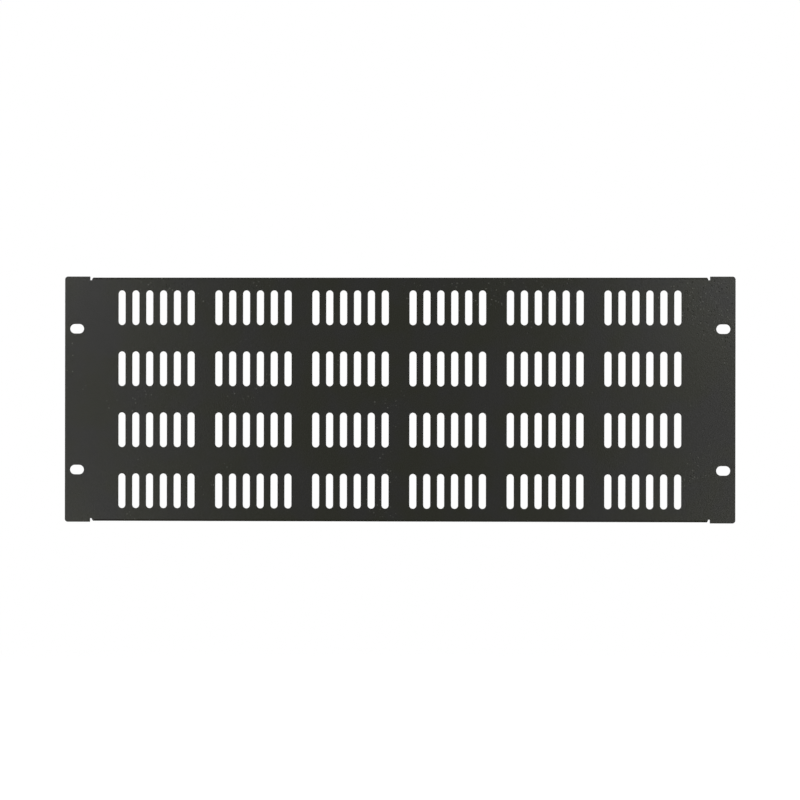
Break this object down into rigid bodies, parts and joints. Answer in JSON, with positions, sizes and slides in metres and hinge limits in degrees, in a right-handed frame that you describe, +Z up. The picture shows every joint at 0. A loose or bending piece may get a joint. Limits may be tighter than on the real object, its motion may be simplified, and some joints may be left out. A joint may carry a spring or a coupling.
{
  "type": "rack blanking panel",
  "caption": "Vented blanking panel for a 19 inch rack, folded from one steel sheet, with slotted ears for the rack screws.",
  "frame": {"origin": "centre of the rectangle of mounting slots, on the rear face of the ears, which seats on the rack rails", "axes": "upright as mounted: +X across the rack, along the panel's length; +Y into the rack, the way the folds point; +Z up. The front face looks along -Y"},
  "size_m": [0.4826, 0.012, 0.177],
  "materials": {
    "powder_coated_steel": "fine-textured black powder coat on folded mild steel sheet"
  },
  "bodies": {
    "root": {"panel": "powder_coated_steel"}
  },
  "joints": []
}
